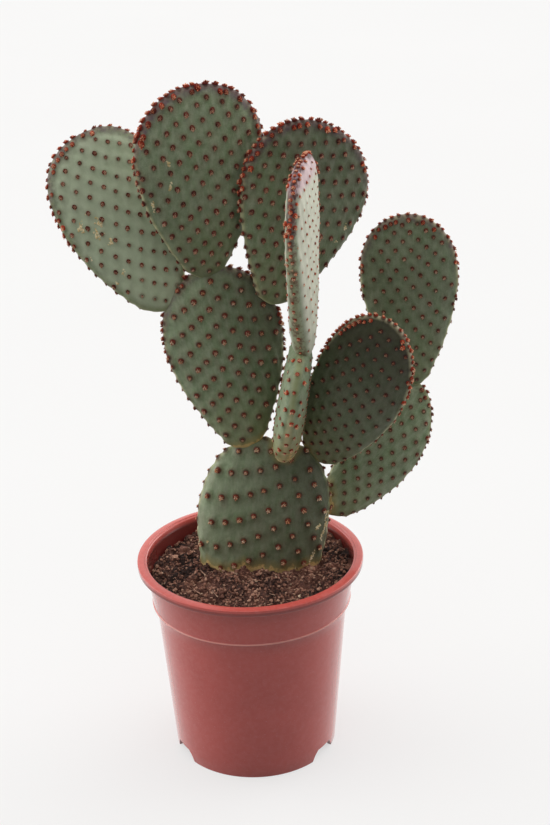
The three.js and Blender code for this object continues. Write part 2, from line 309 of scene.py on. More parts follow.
def drainCutter(turn):
    cutter = bmesh.new()
    place = Matrix.Rotation(turn, 4, "Z") @ Matrix.Translation((drain["circle"], 0, pot["floorHeight"]))
    bmesh.ops.create_cone(cutter, cap_ends=True, segments=drain["segments"], radius1=drain["radius"],
                          radius2=drain["radius"], depth=2 * pot["floorHeight"], matrix=place)
    return cutter


def buildPot():
    bm = spinProfile(potProfile(), pot["steps"])
    for i in range(notch["count"]):
        bm = cut(bm, notchCutter(math.radians(notch["first"] + 360 / notch["count"] * i)))
    for i in range(drain["count"]):
        bm = cut(bm, drainCutter(math.radians(360 / drain["count"] * i)))
    bm.verts.layers.float.new("inside")
    bm.verts.layers.float.new("bead")
    inside, bead = (bm.verts.layers.float[name] for name in ("inside", "bead"))
    # marks the inner wall and the groove under the rim for painted shade and the bead for a painted
    # highlight;
    # what is added to a size is only slack
    step, rimFoot = pot["stepHeight"], pot["height"] - pot["rimDepth"]
    low, high = pot["beadBand"]
    for vert in bm.verts:
        height, reach = vert.co.z, math.hypot(vert.co.x, vert.co.y)
        vert[inside] = step < height <= rimFoot + 0.7 and reach < innerRadius(height) + 0.5
        if reach > pot["collarTop"] + 0.6 and rimFoot - 0.1 < height < rimFoot + pot["shadeTop"]:
            vert[inside] = pot["rimShade"]
        vert[bead] = pot["beadHighlight"] if low < height - step < high and reach > pot["bodyTop"] + 1 else 0
    piece = addPiece("plastic_pot", bm, [polypropylene()], sharpAngle=38)
    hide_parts("pot")


buildPot()
print("pot spun, notched and drilled")


soil = {
    # the surface: swells and ripples in radians a millimetre, a bank to the back right, a mound round the
    # base pad, and lumps and grains
    "level": 111.5, "relief": 1.3, "swells": (0.21, 0.17), "ripple": 0.6, "ripples": (0.43, 0.38),
    "bank": 0.045, "mound": {"x": -8, "y": -12, "rise": 3.8, "radius": 26}, "roughness": 2.7,
    "lumpLength": 5, "grainLength": 2, "grainShare": 0.6,
    "rings": 60, "steps": 220, "clear": 0.3, "chamfer": 2, "wallClear": 0.02,
    # loose crumbs, chunks and big clods (x, y, size), of which most are dark and a few are pale grit
    "crumbs": 6600, "crumbSize": (0.42, 1.3), "sizeCurve": 1.6, "chunks": 90, "chunkSize": (1.1, 1.8),
    "kinds": 8, "seed": 31, "tilt": 0.6, "crumbWide": (0.55, 1), "crumbHigh": (0.45, 0.85), "lift": 0.25,
    "darker": 0.55, "shadeCurve": 1.9, "gritFrom": 0.992, "gritShade": (0.6, 0.9),
    "clods": [(-40, 25, 4.4), (-34, 27, 3.2), (-43, 16, 3), (-4, -49, 3.4), (-9, -46, 2.6), (30, 33, 3.4),
              (46, 14, 2.6)],
}
fibre = {"count": 110, "length": (3, 8), "radius": (0.15, 0.35), "tip": 0.08, "cuts": 3, "bend": 0.12,
         "lie": (1.25, 1.7), "lift": 0.6, "shade": (0.2, 0.75)}


def soilHeight(x, y):
    (swellX, swellY), (rippleX, rippleY) = soil["swells"], soil["ripples"]
    wave = math.sin(x * swellX + 1) * math.cos(y * swellY)
    wave += soil["ripple"] * math.sin(x * rippleX - y * rippleY)
    mound = soil["mound"]
    apart = math.hypot(x - mound["x"], y - mound["y"]) / mound["radius"]
    heap = mound["rise"] * math.exp(-apart * apart)
    return soil["level"] + soil["relief"] * wave + soil["bank"] * (x + y) + heap


def crumbled(x, y):
    # the same surface with lumps and grains
    lump = noise.noise(Vector((x, y, 3)) / soil["lumpLength"])
    grain = noise.noise(Vector((x, y, 9)) / soil["grainLength"])
    return soilHeight(x, y) + soil["roughness"] * (lump + soil["grainShare"] * grain)


def peat():
    # potting peat with bark and a little grit: matt, dark brown, every crumb a shade of its own
    material, tree = newMaterial("potting_peat")
    place = node(tree, "TexCoord").outputs["Object"]
    shade = node(tree, "Attribute", attribute_name="shade").outputs["Fac"]
    # damp and dry patches of about 20 mm, grains of about 1 mm
    patch = node(tree, "TexNoise", {"Vector": place, "Scale": 50, "Detail": 3})
    grain = node(tree, "TexNoise", {"Vector": place, "Scale": 1000, "Detail": 4, "Roughness": 0.7})
    tone = node(tree, "Math", {0: share(tree, (grain, 0.35, 0.7, 0, 0.22)), 1: shade}, operation="ADD")
    tone = node(tree, "Math", {0: tone, 1: share(tree, (patch, 0.4, 0.66, -0.06, 0.1))}, operation="ADD")
    ramp = node(tree, "ValToRGB", {"Fac": tone})
    stops = ramp.color_ramp.elements
    stops[0].position, stops[0].color = 0.04, linear("#1d1412")
    stops[1].position, stops[1].color = 1, linear("#e6cfb2")
    for position, colour in ((0.2, "#67443a"), (0.45, "#a0725f"), (0.7, "#c49d86")):
        stops.new(position).color = linear(colour)
    bump = node(tree, "Bump", {"Height": grain, "Strength": 0.8, "Distance": 0.0005})
    return surfaced(material, node(tree, "BsdfPrincipled", {
        "Base Color": ramp, "Roughness": 0.9, "Normal": bump, "Specular IOR Level": 0.35}))


def soilBody():
    # the filled pot's soil with its uneven top, down to the pot's floor
    level, clear, chamfer = soil["level"], soil["clear"], soil["chamfer"]
    edge = innerRadius(level)
    bottom = pot["floorHeight"] + pot["floorThick"]
    profile = [(0, bottom), (innerRadius(bottom) - chamfer, bottom)]
    profile += [(innerRadius(height) - clear, height)
                for height in (bottom + chamfer, pot["stepHeight"] - 1, pot["stepHeight"] + 2)]
    profile += [(edge * i / soil["rings"], level) for i in range(soil["rings"], -1, -1)]
    bm = spinProfile(profile, soil["steps"])
    for vert in bm.verts:
        x, y, z = vert.co
        if abs(z - level) > 0.01:
            continue
        height = crumbled(x, y)
        fit = (innerRadius(height) - soil["wallClear"]) / edge if math.hypot(x, y) > edge - 0.01 else 1
        vert.co = (x * fit, y * fit, height)
    return bm


def soilSpot(draw, margin):
    # a random place on the soil, this far in from the wall
    reach = math.sqrt(draw.random()) * (innerRadius(soil["level"]) - margin)
    turn = draw.uniform(0, 2 * math.pi)
    return reach * math.cos(turn), reach * math.sin(turn)


def crumbPlacements(draw, shapes):
    crumbs = [(None, between(*soil["crumbSize"], draw.random() ** soil["sizeCurve"]))
              for _ in range(soil["crumbs"])]
    crumbs += [(None, draw.uniform(*soil["chunkSize"])) for _ in range(soil["chunks"])]
    crumbs += [((x, y), size) for x, y, size in soil["clods"]]
    placements = []
    for place, size in crumbs:
        spot = soilSpot(draw, size + soil["clear"])
        x, y = place or spot
        tilt = Matrix.Rotation(draw.uniform(0, anyTurn), 4, "Z")
        tilt = tilt @ Matrix.Rotation(eitherWay(draw, soil["tilt"]), 4, "X")
        wide, high = draw.uniform(*soil["crumbWide"]), draw.uniform(*soil["crumbHigh"])
        form = Matrix.Diagonal((size, size * wide, size * high, 1))
        matrix = Matrix.Translation((x, y, crumbled(x, y) + soil["lift"] * size)) @ tilt @ form
        light = draw.random()
        shade = soil["darker"] * light ** soil["shadeCurve"]
        if light > soil["gritFrom"]:
            shade = draw.uniform(*soil["gritShade"])
        placements.append((draw.choice(shapes), matrix, shade))
    return placements


def fibrePlacements(draw):
    # roots and bark fibres that lie on the soil
    placements = []
    for _ in range(fibre["count"]):
        length = draw.uniform(*fibre["length"])
        x, y = soilSpot(draw, length)
        strand = bmesh.new()
        bmesh.ops.create_cone(strand, cap_ends=True, segments=3, radius1=draw.uniform(*fibre["radius"]),
                              radius2=fibre["tip"], depth=length)
        lengthwise = [edge for edge in strand.edges if edge.calc_length() > length * 0.9]
        bmesh.ops.subdivide_edges(strand, edges=lengthwise, cuts=fibre["cuts"])
        bend = eitherWay(draw, fibre["bend"])
        for vert in strand.verts:
            vert.co.x += bend * (vert.co.z ** 2) / length * 2
        lie = Matrix.Rotation(draw.uniform(0, anyTurn), 4, "Z")
        lie = lie @ Matrix.Rotation(draw.uniform(*fibre["lie"]), 4, "Y")
        matrix = Matrix.Translation((x, y, crumbled(x, y) + fibre["lift"])) @ lie
        placements.append((meshFrom(strand, "fibre"), matrix, draw.uniform(*fibre["shade"])))
    return placements


def buildSoil():
    bm = soilBody()
    draw = random.Random(soil["seed"])
    shapes = lumpShapes(draw, soil["kinds"])
    crumbs = crumbPlacements(draw, shapes)
    fibres = fibrePlacements(draw)
    stampAll(bm, crumbs + fibres, "shade")
    for mesh in shapes + [strand for strand, _, _ in fibres]:
        bpy.data.meshes.remove(mesh)
    piece = addPiece("potting_soil", bm, [peat()], sharpAngle=22)
    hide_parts("soil")


buildSoil()
print("soil crumbled")


# What most pads share; a pad below names what differs on it. All lengths are in millimetres.
usual = {
    # the neck's width as a share of the widest place, how far the pad's middle line swings to the right and
    # to the back, and how square its thickness runs out at the foot and at the tip
    "neck": 0.22, "sway": 0, "bow": 0, "ends": (2.6, 2.6),
    # gaps between the areoles on the rim, low and high; from "lines" on it has three lines, "shift" apart
    "gaps": (6.4, 4.3), "lines": 0.45, "shift": 1.6, "more": (), "warp": (0, 0, 0),
    # areoles: how long for their width, how large on the rim, how red on the rim and on the faces, how much
    # brighter the red ones are (partly a painted highlight on a rim lit from the side), and how far their
    # shades differ (kept low on a pad in painted shade, which paints shade on its areoles too)
    "oval": 1, "rimSize": 1, "red": 1, "faceRed": 0, "bright": 0, "dull": 1,
    # how purple the tip is and how far in from the rim, how brown the foot, how much painted shade darkens
    # the pad and how much more so to the right or to the foot, how strong the painted highlight along its
    # edge is, and how thick its wax
    "blush": 0, "blushReach": 5, "corky": 0, "tone": 0, "toRight": 0, "toFoot": 0, "lit": 0, "pale": 0,
}
baseRidge = ((36, 71), (35.4, 67), (33.4, 60), (30.8, 53), (28.4, 46.5))
# foot is the lowest point of a pad's outline. lean tips it to the right, nod to the back, and turn swings
# its face round its own length, in degrees. low and high set where the outline is fullest. rows are the two
# steps of its rows of areoles, start is one of them, and warp is how far the rows bow, close up towards the
# tip and fan out, in millimetres at 10 mm from the start; more are single ones. size is the areoles' size,
# and gold how pale their bristles are. corkFoot is how fast the cork ends upwards from the foot and to the
# back. To the right of the ridge the skin darkens with painted shade to the value of flank, for the side of
# the pad that lies in shade. A scab is (points, width, lumps). All points are given as across and along the
# pad.
pads = [
    {"name": "pad_base", "foot": (1.9, 6, 74), "lean": 6.7, "nod": 0, "turn": -4,
     "length": 117, "width": 73.4, "thick": 27, "low": 0.45, "high": 0.34, "neck": 0, "sway": -1.6,
     "rows": ((7.8, 4.9), (-3.7, 11.5)), "start": (-1.6, 62.9), "warp": (0.87, 0.1, 0.44), "gaps": (9, 8),
     "lines": 2,
     "size": 1.16, "rimSize": 0.62, "gold": 1, "red": 0.15,
     "corky": 1, "tone": 0.34, "toRight": 0.32,
     "more": ((-24.7, 108.2), (-18.5, 109.9), (-8.6, 111.9), (-0.7, 112.2)),
     "ridge": baseRidge, "flank": 0.75,
     "scabs": [(((-31.1, 52.9),), 1, 6), (((32.3, 70.2), (31.4, 69.2), (30.3, 67.4)), 0.5, 14),
               (baseRidge, 0.5, 60), (((36.2, 76.5), (35.8, 72)), 1.6, 22)]},
    {"name": "pad_left_mid", "on": "pad_base", "foot": (0.4, 6, 185), "lean": -9.2, "nod": 2, "turn": 3,
     "length": 109, "width": 62, "thick": 15, "low": 1.05, "high": 0.56, "bow": 2,
     "rows": ((5.7, 5.3), (-2, 9.7)), "start": (1.8, 57.9), "warp": (0.84, 0, 0.14),
     "size": 1.08, "gold": 0.55, "red": 0.5,
     "blush": 0.55, "corky": 0.9, "tone": 0.2, "toRight": 0.5},
    {"name": "pad_top_mid", "on": "pad_left_mid", "foot": (-18.4, 9.5, 286.5), "lean": 0.6, "nod": -1,
     "turn": 15,
     "length": 106.5, "width": 66.5, "thick": 12.5, "low": 1.05, "high": 0.49, "sway": -2.8, "bow": -2,
     "rows": ((5.2, 5.3), (-3.3, 8.6)), "start": (0, 56.6), "warp": (0, 0.24, 0.14),
     "size": 0.92, "oval": 1.3, "gold": 0.2,
     "blush": 0.8, "tone": 0.19, "toFoot": 0.45,
     "scabs": [(((-20.6, 71.9), (-18.4, 69.4), (-16.2, 66.8)), 0.3, 14), (((-16, 62), (-16.2, 57)), 0.3, 12),
               (((-17, 55.6),), 1.1, 14), (((-26.3, 47.6), (-25.6, 44.7), (-25, 41.9)), 0.8, 22)]},
    {"name": "pad_far_left", "on": "pad_left_mid", "foot": (-39, 9.5, 269), "lean": -25.2, "nod": 13,
     "turn": 10,
     "length": 105.5, "width": 60, "thick": 12.5, "low": 0.84, "high": 0.4, "sway": -1.8, "bow": -2,
     "rows": ((4, 8.1), (-5.1, 5.1)), "start": (1.6, 49.8), "warp": (0.76, 0.18, 0.26),
     "size": 0.84, "oval": 1.2, "gold": 0.25,
     "blush": 0.6, "tone": 0.06, "pale": 0.6,
     "scabs": [(((-15.3, 66.9),), 1, 9), (((-20.3, 61.3),), 2, 44), (((-10.8, 60.5), (-10, 58.3)), 1.5, 40),
               (((-14.5, 55.2), (-14.2, 53)), 1.7, 52), (((-9.3, 47.8),), 1.6, 32), (((-11.7, 29.6),), 1, 6),
               (((-18.2, 26.6),), 1.2, 6), (((-24.4, 44.2),), 1.2, 8)]},
    {"name": "pad_top_right", "on": "pad_left_mid", "foot": (17.6, 9.5, 270.2), "lean": 12, "nod": 2,
     "turn": 24,
     "length": 103, "width": 73, "thick": 12.5, "low": 1.05, "high": 0.54, "sway": 6.5, "bow": 2,
     "rows": ((2.8, 7.5), (-4.7, 7.9)), "start": (-1, 49.1), "warp": (0.2, 0.15, -0.31),
     "size": 0.94, "oval": 1.15, "gold": 0.15,
     "blush": 0.8, "tone": 0.37, "toRight": 0.1, "lit": 0.35,
     "scabs": [(((21.8, 70.8),), 1, 5), (((22.3, 56.3),), 1.2, 7), (((26.7, 47.1),), 1.3, 6),
               (((23.1, 38.5),), 0.9, 7), (((21.3, 35.6),), 0.8, 5)]},
    {"name": "pad_right_front", "on": "pad_base", "foot": (39, 7, 176.5), "lean": 22.6, "nod": -14,
     "turn": -18,
     "length": 103.5, "width": 50, "thick": 13, "low": 0.83, "high": 0.5, "sway": 2.7, "bow": -2,
     "rows": ((4.2, 6.3), (-5.75, 4.4)), "start": (-2.9, 51.1), "warp": (0.28, 0.29, -0.3),
     "gaps": (6.4, 3.4),
     "size": 0.8, "rimSize": 1.05, "gold": 0.25, "red": 1.5, "bright": 0.6, "dull": 0.35,
     "blush": 0.4, "corky": 0.25, "tone": 0.66, "toFoot": -0.12, "lit": 0.9},
    {"name": "pad_right_low", "on": "pad_base", "foot": (44.6, 8, 141.5), "lean": 37.6, "nod": 13,
     "turn": -8,
     "length": 92, "width": 39.5, "thick": 13, "low": 0.82, "high": 0.53, "sway": 5.2, "bow": 1,
     "rows": ((4, 6.4), (-4.2, 5.2)), "start": (1.2, 44.9), "warp": (-0.8, 0.12, -0.5),
     "size": 0.8, "gold": 0.35, "red": 0.3,
     "blush": 0.1, "corky": 0.8},
    {"name": "pad_right_tall", "on": "pad_right_low", "foot": (96.3, 27.6, 211.5), "lean": -2.9, "nod": -2,
     "turn": -5,
     "length": 102.5, "width": 51.6, "thick": 12, "low": 1.03, "high": 0.49, "sway": 0.4, "bow": 2,
     "rows": ((4.2, 7.2), (-4.2, 5.7)), "start": (2, 49.3), "warp": (0.52, 0.27, 0.2),
     "size": 0.76, "oval": 1.15, "gold": 0.3,
     "blush": 0.6, "tone": 0.28, "toFoot": 0.08, "lit": 0.7},
    {"name": "pad_edge_low", "on": "pad_base", "foot": (21, 1, 184), "lean": 7.7, "nod": -20, "turn": 85,
     "length": 80, "width": 47, "thick": 15.4, "low": 0.6, "high": 0.34, "neck": 0.2, "ends": (3.6, 6),
     "rows": ((6.6, 2), (-2.2, 8)), "start": (0, 40), "gaps": (9.6, 9.6), "lines": 0.1, "shift": 3.3,
     "size": 0.62, "rimSize": 1.35, "gold": 0.4, "faceRed": 0.25, "bright": 0.4, "corkFoot": (0.1, 0.14),
     "corky": 1, "tone": 0.1, "pale": 0.15},
    {"name": "pad_edge_top", "on": "pad_edge_low", "foot": (32.2, -24.5, 251), "lean": 0.4, "nod": -4,
     "turn": 75.5,
     "length": 112, "width": 57, "thick": 12, "low": 0.95, "high": 0.34, "neck": 0.14, "ends": (6, 9),
     "rows": ((5.8, 1.6), (-2.2, 7.4)), "start": (0, 50), "gaps": (6, 3.2),
     "size": 0.6, "rimSize": 1.4, "gold": 0.7, "red": 1.2, "faceRed": 0.8, "bright": 0.5,
     "blush": 0.75, "blushReach": 3.8, "pale": 1},
]
skin = {
    # the mesh's divisions, and the short stretch of a pad's length and turn round it for taking slopes
    "around": 128, "along": 136, "merge": 0.0005, "rimSamples": 400, "stretch": 0.002, "nudge": 0.05,
    # length of the neck's round end, how full the section is, and thickness at the foot and lost to the tip
    "neckLength": 0.07, "edge": 0.85, "footThick": 1.12, "taper": 0.3,
    # tubercles: height, the largest areole that still adds to it, radius, and how long for their width
    "tubercle": 1.1, "tubercleMost": 1.1, "tubercleCurve": 1.5, "tubercleRadius": 2.6, "tubercleOval": 1.7,
    "wave": 0.45, "waveLength": 14, "dimple": 0.2, "dimpleLength": 4,
    # how far cork can reach from a joint, how fast it ends above the soil, where along the pad the blush
    # starts and is full, and over how much the flank's shade fades in
    "jointReach": 8, "soilCork": 0.7, "blushBand": (0.5, 0.8), "flankFade": 1.5,
}
tuft = {
    # places: least gaps on the faces and on the rim, to another pad, over the soil and in from the outline
    "faceGap": 3.0, "rimGap": 2.4, "clear": 1.4, "reach": 1.6, "soilClear": 1.2, "outlineClear": 1,
    "ends": (0.05, 0.97), "jitter": 0.4, "rows": 24, "backStart": (3.1, 2.3),
    # the rim's lines: steps along it and in from it, the stretch over which they change, and their scatter
    "strides": 600, "inSteps": 17, "inStep": 0.15, "rimBlend": 0.2, "linesLater": 0.06, "lowestRim": 0.25,
    "gapJitter": 0.25, "shiftJitter": 0.7, "edgeJitter": 0.08,
    # shapes: the cushion and its bristles, which lean to the foot; the pale ones stand at that end
    "kinds": 8, "seed": 5, "cushion": 1.5, "cushionOval": (0.9, 1.05), "cushionHeight": 0.95, "seat": -0.1,
    "bristles": 9, "goldenTurn": 2.4, "turnJitter": 0.3, "brush": 0.62, "droop": 0.3, "tilt": (0.25, 0.5),
    "bristleLength": (1.0, 1.4), "bristleRadius": 0.3, "bristleTaper": 0.7,
    "paleAt": -0.15, "paleReach": 0.5, "paleLonger": 1.3, "paleWider": 1.25,
    # scatter of size and colour, growth on the rim, height for width, and the small ones near the foot
    "sizes": (0.8, 1.15), "rimGrowth": (0.85, 1.2), "rimSizes": (0.8, 1.1), "height": (0.62, 0.72),
    "twist": 0.5, "footPart": 0.2, "footSize": 0.6, "reds": (0.2, 1), "golds": (0.6, 1.2),
}
tuftLayers = ("rim", "gold", "shade")
scab = {"kinds": 6, "seed": 12, "spread": 1.6, "size": (0.35, 0.8), "stretch": (1, 1.6), "height": 0.7,
        "lift": 0.15}
patternStep = 200  # so that no two pads are mottled alike

pads = [{**usual, **pad} for pad in pads]
for index, pad in enumerate(pads):
    turns = [Matrix.Rotation(math.radians(angle), 4, axis)
             for angle, axis in ((pad["lean"], "Y"), (-pad["nod"], "X"), (pad["turn"], "Z"))]
    pad["matrix"] = Matrix.Translation(pad["foot"]) @ turns[0] @ turns[1] @ turns[2]
    pad["inverse"] = pad["matrix"].inverted()
    pad["patternShift"] = Vector((0, patternStep * index, 0))


def arch(t):
    return 4 * t * (1 - t)


def halfWidth(pad, t):
    low, high = pad["low"], pad["high"]
    peak = (low / (low + high)) ** low * (high / (low + high)) ** high
    leaf = t ** low * (1 - t) ** high / peak
    rounding = math.sqrt(1 - (1 - min(1, t / skin["neckLength"])) ** 2)
    return pad["width"] / 2 * (leaf + pad["neck"] * (1 - t) ** 2 * rounding)


def halfThick(pad, t):
    full = math.sqrt(max(0, 1 - abs(2 * t - 1) ** pad["ends"][0 if t < 0.5 else 1]))
    return pad["thick"] / 2 * full * (skin["footThick"] - skin["taper"] * t)


def skinPoint(pad, t, angle):
    def filled(value):
        return math.copysign(abs(value) ** skin["edge"], value)

    return Vector((halfWidth(pad, t) * filled(math.cos(angle)) + pad["sway"] * arch(t),
                   halfThick(pad, t) * filled(math.sin(angle)) + pad["bow"] * arch(t),
                   pad["length"] * t))


def outward(pad, t, angle):
    along = min(2 * skin["stretch"], (1 - t) / 2, t / 2)
    up = skinPoint(pad, t + along, angle) - skinPoint(pad, t - along, angle)
    side = skinPoint(pad, t, angle + skin["nudge"]) - skinPoint(pad, t, angle - skin["nudge"])
    return side.cross(up).normalized()


def widthShare(pad, t, across):
    return min(abs(across) / halfWidth(pad, t), 0.999)


def faceAngle(pad, t, across, face=-1):
    # the angle round the pad of a place on one of its faces, across it from its middle line
    return face * math.acos(math.copysign(widthShare(pad, t, across) ** (1 / skin["edge"]), across))


def insidePad(pad, point, margin):
    own = pad["inverse"] @ point
    along = own.z / pad["length"]
    spare = margin / pad["length"]
    if not -spare < along < 1 + spare:
        return False
    t = clamp(along, skin["stretch"], 1 - skin["stretch"])
    x = abs(own.x - pad["sway"] * arch(t)) / (halfWidth(pad, t) + margin)
    y = abs(own.y - pad["bow"] * arch(t)) / (halfThick(pad, t) + margin)
    return x ** (2 / skin["edge"]) + y ** (2 / skin["edge"]) < 1


def besideRim(pad, t, side, shift):
    # steps from the rim in over a face, until the skin stands shift off the pad's middle plane
    rim = skinPoint(pad, t, side)
    stretch, edge = skin["stretch"], skin["edge"]
    ahead = skinPoint(pad, min(t + stretch, 1), side) - skinPoint(pad, t - stretch, side)
    inward = Vector((-ahead.z, 0, ahead.x)).normalized() * (1 if side == 0 else -1)
    for i in range(tuft["inSteps"]):
        place = rim + inward * tuft["inStep"] * i
        t = clamp(place.z / pad["length"], 0.001, 0.999)
        across = place.x - pad["sway"] * arch(t)
        if halfThick(pad, t) * (1 - widthShare(pad, t, across) ** (2 / edge)) ** (edge / 2) >= abs(shift):
            break
    return t, faceAngle(pad, t, across, math.copysign(1, shift))


def rimPlaces(pad, draw):
    # one line of areoles along the edge, and from "lines" on one more at either side of it
    places = []
    start = min(pad["lines"], usual["lines"])
    for side in (0, math.pi):
        for line in (0, -1, 1):
            passed = 0.5 * abs(line)
            last = skinPoint(pad, 0, side)
            for stride in range(1, tuft["strides"]):
                t = (1 - math.cos(math.pi * stride / tuft["strides"])) / 2
                here = skinPoint(pad, t, side)
                high = clamp((t - start) / tuft["rimBlend"])
                passed += (here - last).length / between(*pad["gaps"], high)
                last = here
                if passed < 1:
                    continue
                passed -= 1 + eitherWay(draw, tuft["gapJitter"])
                if t < tuft["ends"][0] or (line and t < pad["lines"] + tuft["linesLater"]):
                    continue
                if line:
                    shift = pad["shift"] * line + eitherWay(draw, tuft["shiftJitter"])
                    place = besideRim(pad, t, side, shift)
                else:
                    place = t, side + eitherWay(draw, tuft["edgeJitter"])
                places.append((*place, between(tuft["lowestRim"], 1, high)))
    return places


def facePlaces(pad, draw):
    # slanting rows of areoles on both faces, bowed and closer together towards the tip
    (ax, az), (bx, bz) = pad["rows"]
    bow, close, fan = (part / 100 for part in pad["warp"])  # a square of 10 mm
    places = [(z / pad["length"], faceAngle(pad, z / pad["length"], x), 0) for x, z in pad["more"]]
    for face, startX, startZ in ((-1, 0, 0), (1, *tuft["backStart"])):
        for i in range(-tuft["rows"], tuft["rows"] + 1):
            for j in range(-tuft["rows"], tuft["rows"] + 1):
                x = pad["start"][0] + startX + i * ax + j * bx
                rise = startZ + i * az + j * bz
                z = pad["start"][1] + rise + bow * x * x - close * rise * abs(rise) - fan * rise * x
                x += eitherWay(draw, tuft["jitter"])
                z += eitherWay(draw, tuft["jitter"])
                t = z / pad["length"]
                first, last = tuft["ends"]
                if first < t < last and abs(x) < halfWidth(pad, t) - tuft["outlineClear"]:
                    places.append((t, faceAngle(pad, t, x, face), 0))
    return places


def plantTufts(pad):
    draw = random.Random("areoles " + pad["name"])
    kept = []
    for t, angle, rim in rimPlaces(pad, draw) + facePlaces(pad, draw):
        root = skinPoint(pad, t, angle)
        normal = outward(pad, t, angle)
        placed = pad["matrix"] @ root
        tip = pad["matrix"] @ (root + tuft["reach"] * normal)
        if placed.z < soilHeight(placed.x, placed.y) + tuft["soilClear"]:
            continue
        if any(insidePad(other, point, tuft["clear"]) for other in pads if other is not pad
               for point in (placed, tip)):
            continue
        apart = tuft["rimGap"] if rim else tuft["faceGap"]
        if any((root - other[0]).length < apart for other in kept):
            continue
        kept.append((root, normal, rim, t))
    return kept


def epidermis():
    # waxy epidermis of a paddle cactus: matt grey bloom over green, mottled, yellow and corky at the joints,
    # mauve where young tissue colours in the sun
    material, tree = newMaterial("cactus_epidermis_waxy")
    # own holds the place in the pad's own frame, in millimetres
    own = node(tree, "Attribute", attribute_name="own").outputs["Vector"]
    along, rim, areole, joint, blush, corky, tone, pale, lit = (
        node(tree, "Attribute", attribute_name=key).outputs["Fac"]
        for key in ("along", "rim", "tuft", "joint", "blush", "corky", "tone", "pale", "lit"))
    # streaks 5 mm and 2 mm wide along the pad, bloom patches of 16 mm, mottling of 3 mm, blotches of 4 mm
    # and pores of 0.5 mm
    broad = node(tree, "Mapping", {"Vector": own, "Scale": (1 / 5, 1 / 5, 1 / 18)})
    narrow = node(tree, "Mapping", {"Vector": own, "Scale": (1 / 2, 1 / 2, 1 / 7)})
    streak, lines, patch, mottle, blotch, pores = (
        node(tree, "TexNoise", {"Vector": vector, "Scale": scale, "Detail": detail, "Roughness": roughness})
        for vector, scale, detail, roughness in (
            (broad, 1, 3, 0.5), (narrow, 1, 3, 0.6), (own, 1 / 16, 3, 0.6), (own, 1 / 3, 4, 0.65),
            (own, 1 / 4, 1, 0.5), (own, 2, 2, 0.5)))
    colour = coat(tree, "#708760", "#8b8f76", (streak, 0.38, 0.62))
    for tint, *band in (
            ("#92a581", patch, 0.35, 0.68, 0, 0.6),
            ("#586945", mottle, 0.36, 0.68, 0, 0.6),
            ("#a9b39c", lines, 0.45, 0.72, 0, 0.5),
            ("#b9c1a8", pores, 0.5, 0.7, 0, 0.3),
            ("#a5b296", areole, 2.5, 5, 0, 0.35),  # paler more than 2.5 mm away from the areoles
            ("#868c58", along, 0.4, 0, 0, 0.4),  # the lower part and the rims are yellower
            ("#a6aa72", rim, 3, 0.3, 0, 0.5)):
        colour = coat(tree, colour, tint, band)
    # painted highlight: a pale line runs along the edge of the lower half, and of a pad that is lit from
    # behind
    line = node(tree, "Math", {0: share(tree, (along, 0.75, 0.5, 0, 0.6)), 1: lit}, operation="MAXIMUM")
    colour = coat(tree, colour, "#e0dab0", (line,), (rim, 2.2, 0.5), (pale, 0.4, 0.8, 1, 0))
    # thick wax on young pads
    wax = coat(tree, "#aed0a0", "#dcddcc", (pale,))
    colour = coat(tree, colour, wax, (pale,), (rim, 3, 5.6, 0.12, 0.85))
    # the pad with the thickest wax has a pink tip, and a rim with purple-black blotches and rusty mottling
    tip = share(tree, (pale,), (along, 0.84, 0.93, 0, 0.6))
    colour = coat(tree, colour, "#cfaab8", (tip, 0.35, 0.6, 0, 0.7))
    flush = share(tree, (blush,), (mottle, 0.3, 0.7, 0.5, 1.3))
    colour = coat(tree, colour, "#765a6e", (share(tree, (flush, 0.1, 0.8, 0, 0.8), curve="SMOOTHSTEP"),))
    spots = share(tree, (flush,), (pale,))
    colour = coat(tree, colour, "#3a1e2a", (spots, 0.25, 0.5), (blotch, 0.48, 0.56))
    colour = coat(tree, colour, "#6b4330", (rim, 3.4, 2.2), (pale, 0.6, 1), (mottle, 0.46, 0.6, 0, 0.75))
    # round each areole a brownish ring, and next to it a dark one that is partly painted shade round the
    # raised areole, both fainter under thick wax
    for far, close, most, dark in ((3.2, 1.8, 0.3, "#86644f"), (2.1, 1.35, 0.8, "#46291f")):
        ring = share(tree, (areole, far, close, 0, most), curve="SMOOTHSTEP")
        colour = coat(tree, colour, dark, (ring,), (pale, 0, 1, 1, 0.25))
    # painted shade: a pad in the shade of the others is darker towards its tip, its rim least
    colour = coat(tree, colour, "#7c736c", (rim, 0.8, 2.6, 0.1, 1), (along, 0.15, 0.85, 0.55, 1.35), (tone,),
                  blend_type="MULTIPLY")
    # cork: tan and rough, in an uneven band along a joint or the soil, with a yellow flush beyond it
    colour = coat(tree, colour, "#b49c58", (joint, 6, 1, 0, 0.55), (corky,))
    uneven = share(tree, (mottle, 0.3, 0.7, 0.7, 3.8))
    within = node(tree, "Math", {0: uneven, 1: joint}, operation="SUBTRACT")
    colour = coat(tree, colour, coat(tree, "#b98c48", "#fbe6a6", (pores,)), (within, 0, 1), (corky,))
    height = node(tree, "Math", {0: mottle, 1: pores}, operation="ADD")
    bump = node(tree, "Bump", {"Height": height, "Strength": 0.4, "Distance": 0.0005})
    return surfaced(material, node(tree, "BsdfPrincipled", {
        "Base Color": colour, "Roughness": share(tree, (mottle, 0.2, 0.8, 0.42, 0.62)), "IOR": 1.42,
        "Specular IOR Level": 0.4, "Sheen Weight": 0.1, "Sheen Roughness": 0.4, "Sheen Tint": "#dfe6d6",
        "Normal": bump}))


def tuftColour(tree, young, old, edge):
    # areoles differ between the two colours of a pair: on a young pad, on an old one and on the rim
    rim, gold, shade = (node(tree, "Attribute", attribute_name=key).outputs["Fac"] for key in tuftLayers)
    young, old, edge = (coat(tree, low, high, (shade,)) for low, high in (young, old, edge))
    return coat(tree, coat(tree, young, old, (gold,)), edge, (rim,))


